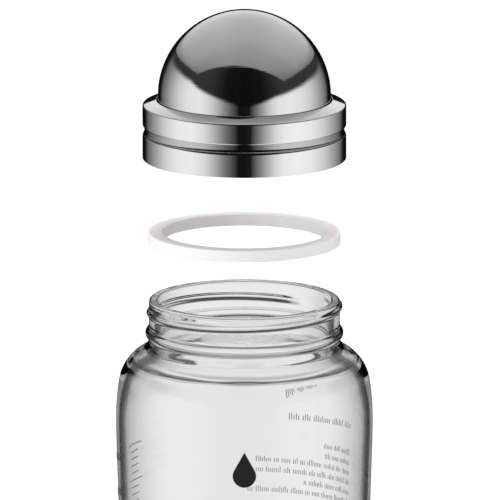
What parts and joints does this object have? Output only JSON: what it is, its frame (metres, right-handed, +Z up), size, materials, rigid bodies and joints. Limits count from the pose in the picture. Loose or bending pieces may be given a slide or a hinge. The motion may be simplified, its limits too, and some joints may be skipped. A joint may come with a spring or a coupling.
{
  "type": "salad dressing shaker bottle",
  "caption": "Clear glass dressing shaker with a threaded neck, a loose seal ring and a domed steel lid whose collar turns, shown taken apart along its axis.",
  "frame": {"origin": "middle of the bottle's foot, on the surface it stands on", "axes": "+Z up along the axis, +X to the right in the picture, the front is -Y"},
  "size_m": [0.0814, 0.0815, 0.2559],
  "materials": {
    "glass": "clear, polished",
    "seal": "soft satin, translucent white",
    "dome_steel": "mirror polished",
    "collar_steel": "mirror polished with fine turned lines",
    "bush": "matt",
    "insert": "matt",
    "scale_ink": "printed",
    "row_ink": "printed",
    "mark_ink": "printed"
  },
  "bodies": {
    "bottle": {"glass_bottle": "glass", "scale_marks": "scale_ink", "panel_rows": "row_ink", "front_mark": "mark_ink"},
    "seal": {"seal_ring": "seal"},
    "dome": {"dome_cap": "dome_steel"},
    "bush": {"slip_bush": "bush"},
    "collar": {"screw_collar": "collar_steel", "thread_insert": "insert"}
  },
  "joints": [
    {"name": "seal_lift", "type": "slide", "parent": "bottle", "child": "seal", "axis": [0, 0, 1], "range_m": [-0.018, 0]},
    {"name": "lid_lift", "type": "slide", "parent": "seal", "child": "dome", "axis": [0, 0, 1], "range_m": [-0.03478, 0]},
    {"name": "collar_rise", "type": "slide", "parent": "dome", "child": "bush", "axis": [0, 0, 1], "range_m": [-0.00213, 0]},
    {"name": "collar_turn", "type": "hinge", "parent": "bush", "child": "collar", "pos_m": [0, 0, 0.218], "axis": [0, 0, 1], "range_deg": [-180, 0]}
  ],
  "couplings": [
    {"joint": "collar_rise", "follows": "collar_turn", "m_per_rad": 0.000678}
  ]
}
